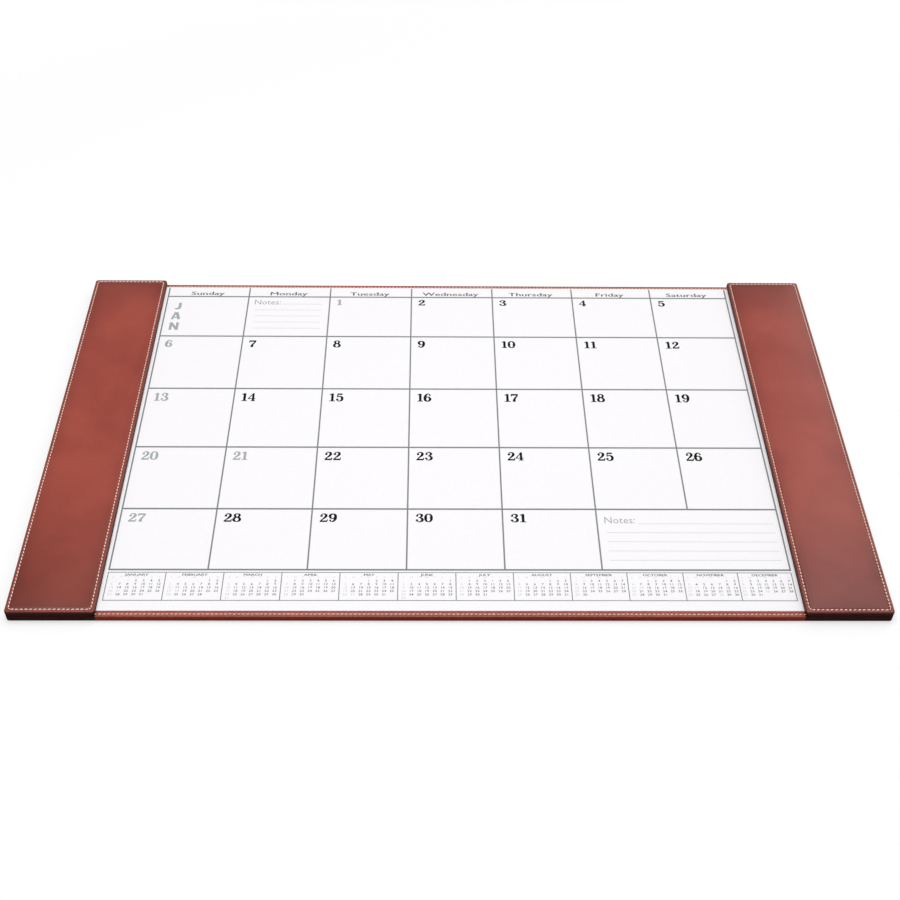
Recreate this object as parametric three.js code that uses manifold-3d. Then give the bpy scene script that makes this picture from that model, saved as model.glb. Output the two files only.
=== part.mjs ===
// Desk pad calendar: a stiff leather mat with two padded side rails, and a pad of
// month sheets whose ends are tucked under the rails.
// Millimetres, +Z up, +X to the right, +Y to the rear, origin at the middle of the underside.

import * as THREE from 'three';
import { mergeVertices } from 'three/addons/utils/BufferGeometryUtils.js';
import Module from 'manifold-3d';

const wasm = await Module();
wasm.setup();

// Print on the top sheet. The mat takes its plan size from it.
const firstColumnWidth = 98.3;
const secondColumnWidth = 98.9;
const thirdColumnWidth = 99.2;
const fourthColumnWidth = 98.6;
const fifthColumnWidth = 97.6;
const sixthColumnWidth = 96.2;
const seventhColumnWidth = 93;
const sideMargin = 4.1; // bare paper between the month grid and a rail
const headerDepth = 18; // strip behind the first week, for the names of the days
const headerBleed = 1.5; // bare paper behind the ends of the header's lines
const firstWeekDepth = 73;
const secondWeekDepth = 90;
const thirdWeekDepth = 92.5;
const fourthWeekDepth = 89.5;
const fifthWeekDepth = 81;
const yearStripGap = 3.5;
const yearStripDepth = 35;
const frontMargin = 12.5; // bare paper in front of the year strip
const monthBoxCount = 12;
const gridLineWidth = 1.4;
const yearLineWidth = 0.9;
const printRelief = 0.2; // print stands on the paper as a thin field

// Day numbers
const firstDayColumn = 2; // the month starts on a Tuesday
const dayCount = 31;
const notesColumns = 2; // the last cells of the last week are one notes field
const digitHeight = 12.5;
const digitWidth = 7.6;
const digitStroke = 2.3;
const digitGap = 1.6;
const numberInsetX = 8;
const numberInsetY = 6;
const reliefRoot = 0.1; // how deep a digit's bars start inside the paper

// Sheets and their card
const tuckDepth = 36; // paper hidden under each rail
const sheetsThickness = 0.9; // twelve sheets
const cardThickness = 0.4;

// Base mat
const edgeStripDepth = 6.5; // leather that shows before and behind the paper
const cornerRadius = 3;
const feltThickness = 1;
const feltInset = 4;
const turnInThickness = 0.8;
const baseTurnInWidth = 14;
const baseBoardThickness = 4.7;
const leatherThickness = 1;
const baseEdgeRadius = 1.3;
const underEdgeRadius = 0.6;

// Side rails
const railWidth = 87;
const pocketClearance = 0.3; // free height above the sheets in the pocket
const liningThickness = 0.3;
const liningInset = 4;
const railTurnInWidth = 12;
const railBoardThickness = 1.6;
const paddingThickness = 2.4; // at the crown
const railEdgeRadius = 1.6;
const lipDrop = 0.3; // the rail's lip lies this far under its crown
const channelDrop = 0.9; // and the floor of the stitch channel this far
const channelInset = 3.6; // middle of the channel, from the rail's edge
const channelWidth = 1;
const channelSlope = 0.4; // plan width of the channel's outer flank
const shoulderWidth = 5; // from the channel to where the padding is nearly full
const crownWidth = 12; // from the channel to the flat crown

// Spacer strips that fix a rail to the mat
const spacerInset = 0.8;
const outerSpacerWidth = 10;
const spacerClearance = 0.5; // between a spacer and the sheets
const mouthInset = 5; // the pocket's mouth, clear of the front and rear spacers

// Stitches
const threadWidth = 0.85;
const threadHigh = 0.75;
const threadLow = 0.25;
const sideStitchPitch = 4.2;
const crossStitchPitch = 4.36;
const stitchRise = 0.35; // share of the pitch before a stitch's top
const stitchesPerSpan = 20; // stitches between two points of the thread's underside
const edgeStitchInset = 3.5; // from the mat's front and rear edges
const threadTuck = 3; // length of the edge threads hidden under each rail

const fitClearance = 0.3;
const cornerSegments = 2;
const leastRadius = 0.2; // corner radius of an outline that lies inside the corner's centre

const columnWidths = [
  firstColumnWidth, secondColumnWidth, thirdColumnWidth, fourthColumnWidth,
  fifthColumnWidth, sixthColumnWidth, seventhColumnWidth,
];
const columnCount = columnWidths.length;
const gridWidth = columnWidths.reduce((sum, width) => sum + width, 0);
const visibleWidth = gridWidth + 2 * sideMargin;
const weekRowDepths = [firstWeekDepth, secondWeekDepth, thirdWeekDepth, fourthWeekDepth, fifthWeekDepth];
const monthDepth = weekRowDepths.reduce((sum, depth) => sum + depth, 0);
const sheetDepth = headerDepth + monthDepth + yearStripGap + yearStripDepth + frontMargin;
const sheetWidth = visibleWidth + 2 * tuckDepth;
const overallWidth = visibleWidth + 2 * railWidth;
const overallDepth = sheetDepth + 2 * edgeStripDepth;

const baseBoardBottom = feltThickness + turnInThickness;
const baseCeiling = baseBoardBottom + baseBoardThickness;
const baseTop = baseCeiling + leatherThickness;
const sheetsBottom = baseTop + cardThickness;
const pageTop = sheetsBottom + sheetsThickness;
const railBottom = pageTop + pocketClearance;
const railFlangeBottom = railBottom + liningThickness;
const railBoardBottom = railFlangeBottom + turnInThickness;
const railBoardTop = railBoardBottom + railBoardThickness;
const railCeiling = railBoardTop + paddingThickness;
const railTop = railCeiling + leatherThickness;

const leatherLook = { color: 0x964e46, roughness: 0.42, metalness: 0 };
const threadLook = { color: 0xefcdb4, roughness: 0.7, metalness: 0 };
const feltLook = { color: 0x1d1a19, roughness: 0.95, metalness: 0 };
const boardLook = { color: 0xa08a6c, roughness: 0.9, metalness: 0 };
const paddingLook = { color: 0xe6dfc8, roughness: 0.95, metalness: 0 };
const cardLook = { color: 0xb9b2a6, roughness: 0.9, metalness: 0 };
const lineLook = { color: 0x8d9194, roughness: 0.85, metalness: 0 };
const paperLook = { color: 0xffffff, roughness: 0.85, metalness: 0, vertexColors: true };
const paperColour = new THREE.Color(0xfbf9fb);
const numberColour = new THREE.Color(0x1c1c1e);

const deskPadCalendar = new THREE.Group();

function addPart(name, geometry, look) {
  const mesh = new THREE.Mesh(geometry, new THREE.MeshStandardMaterial(look));
  mesh.name = name;
  deskPadCalendar.add(mesh);
  return mesh;
}

// Corners of a rounded rectangle, counter-clockwise from above
function outlinePoints(panel, inset, z) {
  const halfX = panel.width / 2 - inset;
  const halfY = panel.depth / 2 - inset;
  const radius = Math.max(cornerRadius - inset, leastRadius);
  const points = [];
  for (let corner = 0; corner < 4; corner += 1) {
    const startAngle = (corner * Math.PI) / 2;
    const signX = corner === 0 || corner === 3 ? 1 : -1;
    const signY = corner < 2 ? 1 : -1;
    for (let step = 0; step <= cornerSegments; step += 1) {
      const angle = startAngle + (step / cornerSegments) * (Math.PI / 2);
      points.push(new THREE.Vector3(
        panel.x + signX * (halfX - radius) + radius * Math.cos(angle),
        signY * (halfY - radius) + radius * Math.sin(angle),
        z,
      ));
    }
  }
  return points;
}

// Closed solid through a path of outlines: [inset from the panel's edge, height].
// The first outline is closed by a face that looks down, the last by one that looks up.
function panelSolid(panel, path) {
  const rings = path.map(([inset, z]) => outlinePoints(panel, inset, z));
  const count = rings[0].length;
  const positions = rings.flat().flatMap((point) => [point.x, point.y, point.z]);
  const faces = [];
  const last = (rings.length - 1) * count;
  for (let i = 1; i < count - 1; i += 1) {
    faces.push(0, i + 1, i);
    faces.push(last, last + i, last + i + 1);
  }
  for (let ring = 0; ring < rings.length - 1; ring += 1) {
    for (let i = 0; i < count; i += 1) {
      const a = ring * count + i;
      const b = ring * count + ((i + 1) % count);
      faces.push(a, b, b + count, a, b + count, a + count);
    }
  }
  const geometry = new THREE.BufferGeometry();
  geometry.setAttribute('position', new THREE.Float32BufferAttribute(positions, 3));
  geometry.setIndex(faces);
  return geometry;
}

// Quarter round from an upright wall at no inset to a flat top at the given height
function rolledEdge(radius, top) {
  const path = [];
  for (let step = 0; step <= cornerSegments; step += 1) {
    const angle = (step / cornerSegments) * (Math.PI / 2);
    path.push([radius * (1 - Math.cos(angle)), top - radius * (1 - Math.sin(angle))]);
  }
  return path;
}

function boxBetween(low, high) {
  const size = new THREE.Vector3().subVectors(high, low);
  const geometry = new THREE.BoxGeometry(size.x, size.y, size.z);
  geometry.translate((low.x + high.x) / 2, (low.y + high.y) / 2, (low.z + high.z) / 2);
  return geometry;
}

function toSolid(geometry) {
  const bare = geometry.clone();
  bare.deleteAttribute('normal');
  bare.deleteAttribute('uv');
  const merged = mergeVertices(bare);
  return new wasm.Manifold(new wasm.Mesh({
    numProp: 3,
    vertProperties: merged.getAttribute('position').array,
    triVerts: new Uint32Array(merged.getIndex().array),
  }));
}

// One solid from overlapping pieces, without the edges that lie inside its flat faces
function joined(geometries) {
  const whole = geometries.map(toSolid).reduce((sum, piece) => sum.add(piece));
  const mesh = whole.asOriginal().simplify().getMesh();
  const geometry = new THREE.BufferGeometry();
  geometry.setAttribute('position', new THREE.BufferAttribute(mesh.vertProperties, 3));
  geometry.setIndex(new THREE.BufferAttribute(mesh.triVerts, 1));
  return geometry;
}

// Backing sheet that also fills the space inside a cover's turned edges
function steppedBacking(panel, bottom, thickness, inset, turnInWidth) {
  const step = bottom + thickness;
  const fieldInset = leatherThickness + turnInWidth + fitClearance;
  return panelSolid(panel, [
    [inset, bottom],
    [inset, step],
    [fieldInset, step],
    [fieldInset, step + turnInThickness],
  ]);
}

function board(panel, bottom, top) {
  const inset = leatherThickness + fitClearance;
  return panelSolid(panel, [[inset, bottom], [inset, top]]);
}

// Path from inside a cover's side wall, round its turned edge, to the foot of its outer wall
function turnedEdge(flangeBottom, turnInWidth) {
  const flangeTop = flangeBottom + turnInThickness;
  const flangeInset = leatherThickness + turnInWidth;
  return [
    [leatherThickness, flangeTop],
    [flangeInset, flangeTop],
    [flangeInset, flangeBottom],
    [underEdgeRadius, flangeBottom],
    [0, flangeBottom + underEdgeRadius],
  ];
}

// Sewing thread on a flat floor, along straight sides between the given corners.
// Its top rises and falls with each stitch. Each corner has a plan point and the
// offset from there to the thread's edge, and the pitch of the side that it starts.
// A closed thread's last corner repeats its first.
function sewingThread(corners, floor) {
  const positions = [];
  const faces = [];
  function addPair(point, offset, z) {
    positions.push(point.x + offset.x, point.y + offset.y, z);
    positions.push(point.x - offset.x, point.y - offset.y, z);
    return positions.length / 3 - 2;
  }
  // Four corners, counter-clockwise as seen from outside
  function addQuad(a, b, c, d) {
    faces.push(a, b, c, a, c, d);
  }
  const dips = [];
  const tops = [];
  const feet = [];
  corners.forEach((corner, k) => {
    const next = corners[k + 1];
    if (!next) {
      return;
    }
    const along = new THREE.Vector2().subVectors(next.point, corner.point);
    const count = Math.max(1, Math.round(along.length() / corner.pitch));
    const across = new THREE.Vector2(along.y, -along.x).setLength(threadWidth / 2);
    for (let i = 0; i < count; i += 1) {
      const dip = corner.point.clone().addScaledVector(along, i / count);
      const top = corner.point.clone().addScaledVector(along, (i + stitchRise) / count);
      const offset = i === 0 ? corner.offset : across;
      if (i % stitchesPerSpan === 0) {
        feet.push({ pair: addPair(dip, offset, floor), dip: dips.length });
      }
      dips.push(addPair(dip, offset, floor + threadLow));
      tops.push(addPair(top, across, floor + threadHigh));
    }
  });
  const start = corners[0];
  const end = corners.at(-1);
  const closed = start.point.equals(end.point);
  feet.push({ pair: closed ? feet[0].pair : addPair(end.point, end.offset, floor), dip: dips.length });
  dips.push(closed ? dips[0] : addPair(end.point, end.offset, floor + threadLow));

  tops.forEach((top, i) => {
    const before = dips[i];
    const after = dips[i + 1];
    addQuad(before, top, top + 1, before + 1);
    addQuad(top, after, after + 1, top + 1);
    faces.push(before, after, top);
    faces.push(before + 1, top + 1, after + 1);
  });
  for (let span = 0; span < feet.length - 1; span += 1) {
    const foot = feet[span].pair;
    const nextFoot = feet[span + 1].pair;
    const middle = Math.floor((feet[span].dip + feet[span + 1].dip) / 2);
    for (let i = feet[span].dip; i < feet[span + 1].dip; i += 1) {
      const nearest = i < middle ? foot : nextFoot;
      faces.push(nearest, dips[i + 1], dips[i]);
      faces.push(nearest + 1, dips[i] + 1, dips[i + 1] + 1);
    }
    faces.push(foot, nextFoot, dips[middle]);
    faces.push(foot + 1, dips[middle] + 1, nextFoot + 1);
    addQuad(foot, foot + 1, nextFoot + 1, nextFoot);
  }
  if (!closed) {
    addQuad(feet[0].pair, dips[0], dips[0] + 1, feet[0].pair + 1);
    const foot = feet.at(-1).pair;
    addQuad(foot, foot + 1, dips.at(-1) + 1, dips.at(-1));
  }
  const geometry = new THREE.BufferGeometry();
  geometry.setAttribute('position', new THREE.Float32BufferAttribute(positions, 3));
  geometry.setIndex(faces);
  return geometry;
}

// Base mat
const base = { x: 0, width: overallWidth, depth: overallDepth };

addPart('felt_backing', steppedBacking(base, 0, feltThickness, feltInset, baseTurnInWidth), feltLook);
addPart('base_board', board(base, baseBoardBottom, baseCeiling), boardLook);
addPart('base_cover', panelSolid(base, [
  [leatherThickness, baseCeiling],
  ...turnedEdge(feltThickness, baseTurnInWidth),
  ...rolledEdge(baseEdgeRadius, baseTop),
]), leatherLook);

const edgeThreadEnd = visibleWidth / 2 + threadTuck;
for (const [place, side] of [['front', -1], ['rear', 1]]) {
  const y = side * (overallDepth / 2 - edgeStitchInset);
  const offset = new THREE.Vector2(0, -threadWidth / 2);
  const thread = sewingThread([
    { point: new THREE.Vector2(-edgeThreadEnd, y), offset, pitch: crossStitchPitch },
    { point: new THREE.Vector2(edgeThreadEnd, y), offset },
  ], baseTop);
  addPart(`${place}_edge_thread`, thread, threadLook);
}

// Side rails
const railOffset = (visibleWidth + railWidth) / 2;
const channelFloor = railTop - channelDrop;
const channelOuter = channelInset - channelWidth / 2;
const channelInner = channelInset + channelWidth / 2;
const railUnderside = channelFloor - leatherThickness;

function railCover(panel) {
  return panelSolid(panel, [
    [channelInner + crownWidth, railCeiling],
    [channelInner + shoulderWidth, railCeiling - lipDrop / 2],
    [channelInner + leatherThickness, railUnderside],
    [leatherThickness, railUnderside],
    ...turnedEdge(railFlangeBottom, railTurnInWidth),
    ...rolledEdge(railEdgeRadius, railTop - lipDrop),
    [channelOuter - channelSlope, railTop - lipDrop],
    [channelOuter, channelFloor],
    [channelInner, channelFloor],
    [channelInner + shoulderWidth, railTop - lipDrop / 2],
    [channelInner + crownWidth, railTop],
  ]);
}

function railPadding(panel) {
  const inset = leatherThickness + fitClearance;
  return panelSolid(panel, [
    [inset, railBoardTop],
    [inset, railUnderside - fitClearance],
    [channelInner + leatherThickness + fitClearance, railUnderside - fitClearance],
    [channelInner + shoulderWidth, railCeiling - lipDrop / 2 - fitClearance],
    [channelInner + crownWidth, railCeiling],
  ]);
}

// One thread all round in the channel, counter-clockwise from the front left corner
function railThread(panel) {
  const halfX = panel.width / 2 - channelInset;
  const halfY = panel.depth / 2 - channelInset;
  const places = [[-1, -1], [1, -1], [1, 1], [-1, 1], [-1, -1]];
  const corners = places.map(([signX, signY], k) => ({
    point: new THREE.Vector2(panel.x + signX * halfX, signY * halfY),
    offset: new THREE.Vector2(signX, signY).multiplyScalar(threadWidth / 2),
    pitch: k % 2 === 0 ? crossStitchPitch : sideStitchPitch,
  }));
  return sewingThread(corners, channelFloor);
}

// Spacer between the mat and the rail, from x and y measured outwards from the mat's middle
function spacer(side, near, far) {
  const low = new THREE.Vector3(Math.min(side * near.x, side * far.x), near.y, baseTop);
  const high = new THREE.Vector3(Math.max(side * near.x, side * far.x), far.y, railBottom);
  return boxBetween(low, high);
}

const outerSpacerX = overallWidth / 2 - spacerInset - outerSpacerWidth;
const endSpacerNear = new THREE.Vector2(visibleWidth / 2 + mouthInset, sheetDepth / 2 + spacerClearance);
const endSpacerFar = new THREE.Vector2(outerSpacerX - fitClearance, overallDepth / 2 - spacerInset);
const outerSpacerNear = new THREE.Vector2(outerSpacerX, -endSpacerFar.y);
const outerSpacerFar = new THREE.Vector2(overallWidth / 2 - spacerInset, endSpacerFar.y);

for (const [place, side] of [['left', -1], ['right', 1]]) {
  const rail = { x: side * railOffset, width: railWidth, depth: overallDepth };
  const frontNear = new THREE.Vector2(endSpacerNear.x, -endSpacerFar.y);
  const frontFar = new THREE.Vector2(endSpacerFar.x, -endSpacerNear.y);
  addPart(`${place}_rail_outer_spacer`, spacer(side, outerSpacerNear, outerSpacerFar), boardLook);
  addPart(`${place}_rail_front_spacer`, spacer(side, frontNear, frontFar), boardLook);
  addPart(`${place}_rail_rear_spacer`, spacer(side, endSpacerNear, endSpacerFar), boardLook);
  const lining = steppedBacking(rail, railBottom, liningThickness, liningInset, railTurnInWidth);
  addPart(`${place}_rail_lining`, lining, feltLook);
  addPart(`${place}_rail_board`, board(rail, railBoardBottom, railBoardTop), boardLook);
  addPart(`${place}_rail_padding`, railPadding(rail), paddingLook);
  addPart(`${place}_rail_cover`, railCover(rail), leatherLook);
  addPart(`${place}_rail_thread`, railThread(rail), threadLook);
}

// Calendar sheets and the card under them
const sheetCorner = new THREE.Vector3(sheetWidth / 2, sheetDepth / 2, sheetsBottom);
const cardLow = new THREE.Vector3(-sheetCorner.x, -sheetCorner.y, baseTop);
addPart('calendar_card', boxBetween(cardLow, sheetCorner), cardLook);

const gridLeft = -gridWidth / 2;
const columnLines = [gridLeft];
for (const width of columnWidths) {
  columnLines.push(columnLines.at(-1) + width);
}

// Place across the grid, from its share of the columns
function acrossColumns(share) {
  const column = Math.min(Math.floor(share * columnCount), columnCount - 1);
  return columnLines[column] + (share * columnCount - column) * columnWidths[column];
}

const pageRear = sheetDepth / 2;
const headerLine = pageRear - headerDepth;
const rowLines = [headerLine];
for (const depth of weekRowDepths) {
  rowLines.push(rowLines.at(-1) - depth);
}
const gridFront = rowLines.at(-1);

// Bars of a digit on a panel one digit wide and high, with its rear left corner at 0, 0
function digitBars(digit) {
  const half = (digitHeight + digitStroke) / 2;
  const right = digitWidth - digitStroke;
  const upperRight = [right, -half, digitWidth, 0];
  const lowerRight = [right, -digitHeight, digitWidth, digitStroke - half];
  const upperLeft = [0, -half, digitStroke, 0];
  const lowerLeft = [0, -digitHeight, digitStroke, digitStroke - half];
  const rear = [0, -digitStroke, digitWidth, 0];
  const middle = [0, -half, digitWidth, digitStroke - half];
  const front = [0, -digitHeight, digitWidth, digitStroke - digitHeight];
  const bars = [
    [rear, upperLeft, upperRight, lowerLeft, lowerRight, front],
    [upperRight, lowerRight],
    [rear, upperRight, middle, lowerLeft, front],
    [rear, upperRight, middle, lowerRight, front],
    [upperLeft, middle, upperRight, lowerRight],
    [rear, upperLeft, middle, lowerRight, front],
    [rear, upperLeft, middle, lowerLeft, lowerRight, front],
    [rear, upperRight, lowerRight],
    [rear, upperLeft, upperRight, middle, lowerLeft, lowerRight, front],
    [rear, upperLeft, upperRight, middle, lowerRight, front],
  ];
  return bars[digit];
}

function flatBar(left, front, right, rear, bottom, top) {
  return boxBetween(new THREE.Vector3(left, front, bottom), new THREE.Vector3(right, rear, top));
}

// All bars of the day numbers, each number at the rear left of its cell
function dayNumberBars() {
  const bars = [];
  for (let day = 1; day <= dayCount; day += 1) {
    const cell = firstDayColumn + day - 1;
    const row = Math.floor(cell / columnCount);
    const startX = columnLines[cell % columnCount] + numberInsetX;
    const startY = rowLines[row] - numberInsetY;
    [...String(day)].forEach((digit, place) => {
      const x = startX + place * (digitWidth + digitGap);
      for (const [left, front, right, rear] of digitBars(Number(digit))) {
        const top = pageTop + printRelief;
        bars.push(flatBar(x + left, startY + front, x + right, startY + rear, pageTop - reliefRoot, top));
      }
    });
  }
  return bars;
}

// Colours each face by its height: ink where it stands above the paper
function withInk(geometry) {
  const faces = geometry.toNonIndexed();
  const position = faces.getAttribute('position');
  const colours = [];
  for (let corner = 0; corner < position.count; corner += 3) {
    const heights = [0, 1, 2].map((i) => position.getZ(corner + i));
    const inked = Math.min(...heights) >= pageTop && Math.max(...heights) > pageTop + printRelief / 2;
    const colour = inked ? numberColour : paperColour;
    for (let i = 0; i < 3; i += 1) {
      colours.push(colour.r, colour.g, colour.b);
    }
  }
  faces.setAttribute('color', new THREE.Float32BufferAttribute(colours, 3));
  return faces;
}

const sheetLow = new THREE.Vector3(-sheetCorner.x, -sheetCorner.y, sheetsBottom);
const sheetHigh = new THREE.Vector3(sheetCorner.x, sheetCorner.y, pageTop);
const sheets = joined([boxBetween(sheetLow, sheetHigh), ...dayNumberBars()]);
addPart('calendar_sheets', withInk(sheets), paperLook);

// Lines of the month grid
function printBar(left, front, right, rear) {
  return flatBar(left, front, right, rear, pageTop, pageTop + printRelief);
}

const halfLine = gridLineWidth / 2;
const monthBars = rowLines.map((y) => (
  printBar(gridLeft - halfLine, y - halfLine, -gridLeft + halfLine, y + halfLine)
));
columnLines.forEach((x, line) => {
  const inNotes = line > columnCount - notesColumns && line < columnCount;
  const front = inNotes ? rowLines.at(-2) : gridFront;
  monthBars.push(printBar(x - halfLine, front - halfLine, x + halfLine, pageRear - headerBleed));
});
addPart('month_grid_print', joined(monthBars), lineLook);

// Boxes of the year strip
const halfYearLine = yearLineWidth / 2;
const stripRear = gridFront - yearStripGap;
const stripFront = stripRear - yearStripDepth;
const yearBars = [stripRear, stripFront].map((y) => (
  printBar(gridLeft - halfYearLine, y - halfYearLine, -gridLeft + halfYearLine, y + halfYearLine)
));
for (let line = 0; line <= monthBoxCount; line += 1) {
  const x = acrossColumns(line / monthBoxCount);
  yearBars.push(printBar(x - halfYearLine, stripFront, x + halfYearLine, stripRear));
}
addPart('year_strip_print', joined(yearBars), lineLook);

export default deskPadCalendar;
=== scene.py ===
# Looks of a desk pad calendar: a stiff leather mat, two padded side rails sewn all round,
# and a pad of month sheets tucked under them. Lengths in the settings are millimetres.
import math
import random

import bmesh
import bpy
from mathutils import Matrix, Vector, noise
from mathutils.bvhtree import BVHTree


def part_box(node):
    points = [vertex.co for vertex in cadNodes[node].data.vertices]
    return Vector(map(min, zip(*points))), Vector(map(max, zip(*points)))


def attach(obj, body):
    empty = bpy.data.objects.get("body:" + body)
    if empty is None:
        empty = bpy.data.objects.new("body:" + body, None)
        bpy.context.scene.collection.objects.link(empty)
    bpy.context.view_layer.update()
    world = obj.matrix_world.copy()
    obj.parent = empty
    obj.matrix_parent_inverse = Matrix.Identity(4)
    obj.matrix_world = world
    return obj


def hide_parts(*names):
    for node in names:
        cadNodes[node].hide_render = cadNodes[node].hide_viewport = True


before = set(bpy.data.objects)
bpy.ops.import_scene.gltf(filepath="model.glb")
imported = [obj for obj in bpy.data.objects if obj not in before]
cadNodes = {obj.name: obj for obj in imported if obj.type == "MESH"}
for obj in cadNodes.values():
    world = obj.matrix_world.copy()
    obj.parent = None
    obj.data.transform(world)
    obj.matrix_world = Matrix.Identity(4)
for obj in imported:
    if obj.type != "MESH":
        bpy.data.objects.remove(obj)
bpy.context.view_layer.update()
mm = 0.001


def boxInMm(node):
    low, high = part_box(node)
    return low / mm, high / mm


def ofType(geometry, kind):
    return [item for item in geometry if isinstance(item, kind)]


def addPiece(name, bm, materials, slotName, *stoodFor, sharpAngle=40):
    bmesh.ops.scale(bm, vec=(mm, mm, mm), verts=bm.verts)
    mesh = bpy.data.meshes.new(name)
    bm.to_mesh(mesh)
    bm.free()
    for material in materials:
        mesh.materials.append(material)
    mesh.shade_smooth()
    mesh.set_sharp_from_angle(angle=math.radians(sharpAngle))
    piece = bpy.data.objects.new(name, mesh)
    bpy.context.scene.collection.objects.link(piece)
    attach(piece, "root")
    if stoodFor:
        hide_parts(*stoodFor)
    return piece


# Materials

def newMaterial(name, roughness, specular=0.5):
    material = bpy.data.materials.new(name)
    material.use_nodes = True
    nodes = material.node_tree.nodes
    shader = nodes["Principled BSDF"]
    shader.inputs["Roughness"].default_value = roughness
    shader.inputs["Specular IOR Level"].default_value = specular
    return material, nodes, material.node_tree.links, shader


def linear(red, green, blue):
    # 8 bit sRGB to the linear values that the nodes hold
    def channel(value):
        share = value / 255
        return share / 12.92 if share <= 0.04045 else ((share + 0.055) / 1.055) ** 2.4
    return (channel(red), channel(green), channel(blue), 1)


def addNoise(nodes, links, source, scale, detail=3, rough=0.5, distortion=0):
    texture = nodes.new("ShaderNodeTexNoise")
    texture.inputs["Scale"].default_value = scale
    texture.inputs["Detail"].default_value = detail
    texture.inputs["Roughness"].default_value = rough
    texture.inputs["Distortion"].default_value = distortion
    links.new(source, texture.inputs["Vector"])
    return texture.outputs["Fac"]


def addRange(nodes, links, source, fromLow, fromHigh, toLow, toHigh):
    ramp = nodes.new("ShaderNodeMapRange")
    ends = {"From Min": fromLow, "From Max": fromHigh, "To Min": toLow, "To Max": toHigh}
    for socket, value in ends.items():
        ramp.inputs[socket].default_value = value
    links.new(source, ramp.inputs["Value"])
    return ramp.outputs["Result"]


def addMix(nodes, links, factor, first, second):
    # inputs 6 and 7 of a mix node are its two colours, and output 2 is the mixed one
    mix = nodes.new("ShaderNodeMix")
    mix.data_type = "RGBA"
    for socket, value in zip((mix.inputs["Factor"], mix.inputs[6], mix.inputs[7]), (factor, first, second)):
        if isinstance(value, bpy.types.NodeSocket):
            links.new(value, socket)
        else:
            socket.default_value = value
    return mix.outputs[2]


def addBump(nodes, links, height, distance, strength, under=None):
    bump = nodes.new("ShaderNodeBump")
    bump.inputs["Distance"].default_value = distance * mm
    bump.inputs["Strength"].default_value = strength
    links.new(height, bump.inputs["Height"])
    if under:
        links.new(under, bump.inputs["Normal"])
    return bump.outputs["Normal"]


def objectCoordinates(nodes):
    return nodes.new("ShaderNodeTexCoord").outputs["Object"]


leatherFinish = {
    "tan": linear(173, 76, 60),
    "deep": linear(154, 62, 49),
    # dark dye of the pores and edges, also used as the colour of painted shade
    "darkDyeAndShade": linear(52, 18, 13),
    "mottleScale": 11,       # scales are per metre
    "mottleSpan": (0.35, 0.65),
    "poreScale": 900,
    "poreDarkening": 0.16,
    "poreBump": (0.08, 0.25),      # depth and strength
    "pebbleScale": 1500,
    "pebbleBump": (0.05, 0.35),
    "roughness": (0.29, 0.38),
    "specular": 0.5,
}


def leatherMaterial():
    finish = leatherFinish
    low, high = finish["roughness"]
    material, nodes, links, shader = newMaterial("oxblood_leather", high, finish["specular"])
    place = objectCoordinates(nodes)
    mottle = addNoise(nodes, links, place, finish["mottleScale"], 4, 0.55, 0.3)
    pores = addNoise(nodes, links, place, finish["poreScale"], 2, 0.6)
    pebble = nodes.new("ShaderNodeTexVoronoi")
    pebble.feature = "F1"
    pebble.inputs["Scale"].default_value = finish["pebbleScale"]
    links.new(place, pebble.inputs["Vector"])
    cloud = addRange(nodes, links, mottle, *finish["mottleSpan"], 0, 1)
    mottled = addMix(nodes, links, cloud, finish["deep"], finish["tan"])
    speck = addRange(nodes, links, pores, 0.3, 0.7, 0, finish["poreDarkening"])
    speckled = addMix(nodes, links, speck, mottled, finish["darkDyeAndShade"])
    # the turned edges are darker than the face, partly edge dye and partly painted shade; the same mask
    # paints shade by the rails' seams and ends
    tone = nodes.new("ShaderNodeAttribute")
    tone.attribute_name = "dyeAndPaintedShade"
    dyedAndShaded = addMix(nodes, links, tone.outputs["Fac"], speckled, finish["darkDyeAndShade"])
    links.new(dyedAndShaded, shader.inputs["Base Color"])
    links.new(addRange(nodes, links, pores, 0.25, 0.75, low, high), shader.inputs["Roughness"])
    grain = addBump(nodes, links, pebble.outputs["Distance"], *finish["pebbleBump"])
    links.new(addBump(nodes, links, pores, *finish["poreBump"], grain), shader.inputs["Normal"])
    return material


threadFinish = {
    "light": linear(255, 243, 230),
    "shade": linear(246, 219, 198),
    "turns": 5,              # plies seen along one stitch
    "fibreScale": 4000,
    "fading": 0.25,
    "plyBump": (0.12, 0.6),
    "roughness": 0.62,
    "sheen": 0.15,
}


def threadMaterial():
    material, nodes, links, shader = newMaterial("waxed_cream_thread", threadFinish["roughness"])
    uv = nodes.new("ShaderNodeTexCoord").outputs["UV"]
    split = nodes.new("ShaderNodeSeparateXYZ")
    links.new(uv, split.inputs["Vector"])
    along = nodes.new("ShaderNodeMath")
    along.operation = "MULTIPLY_ADD"
    along.inputs[1].default_value = threadFinish["turns"]
    links.new(split.outputs["Y"], along.inputs[0])
    links.new(split.outputs["X"], along.inputs[2])
    ply = nodes.new("ShaderNodeMath")
    ply.operation = "PINGPONG"
    ply.inputs[1].default_value = 0.5
    links.new(along.outputs["Value"], ply.inputs[0])
    strand = addRange(nodes, links, ply.outputs["Value"], 0, 0.5, 0, 1)
    fibre = addNoise(nodes, links, objectCoordinates(nodes), threadFinish["fibreScale"], 2)
    # painted shade: each ply is darker toward the grooves beside it; the darker colour also serves the
    # fibres' random fading
    colour = addMix(nodes, links, strand, threadFinish["shade"], threadFinish["light"])
    faded = addRange(nodes, links, fibre, 0.3, 0.7, 0, threadFinish["fading"])
    links.new(addMix(nodes, links, faded, colour, threadFinish["shade"]), shader.inputs["Base Color"])
    links.new(addBump(nodes, links, strand, *threadFinish["plyBump"]), shader.inputs["Normal"])
    shader.inputs["Sheen Weight"].default_value = threadFinish["sheen"]
    return material


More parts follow.
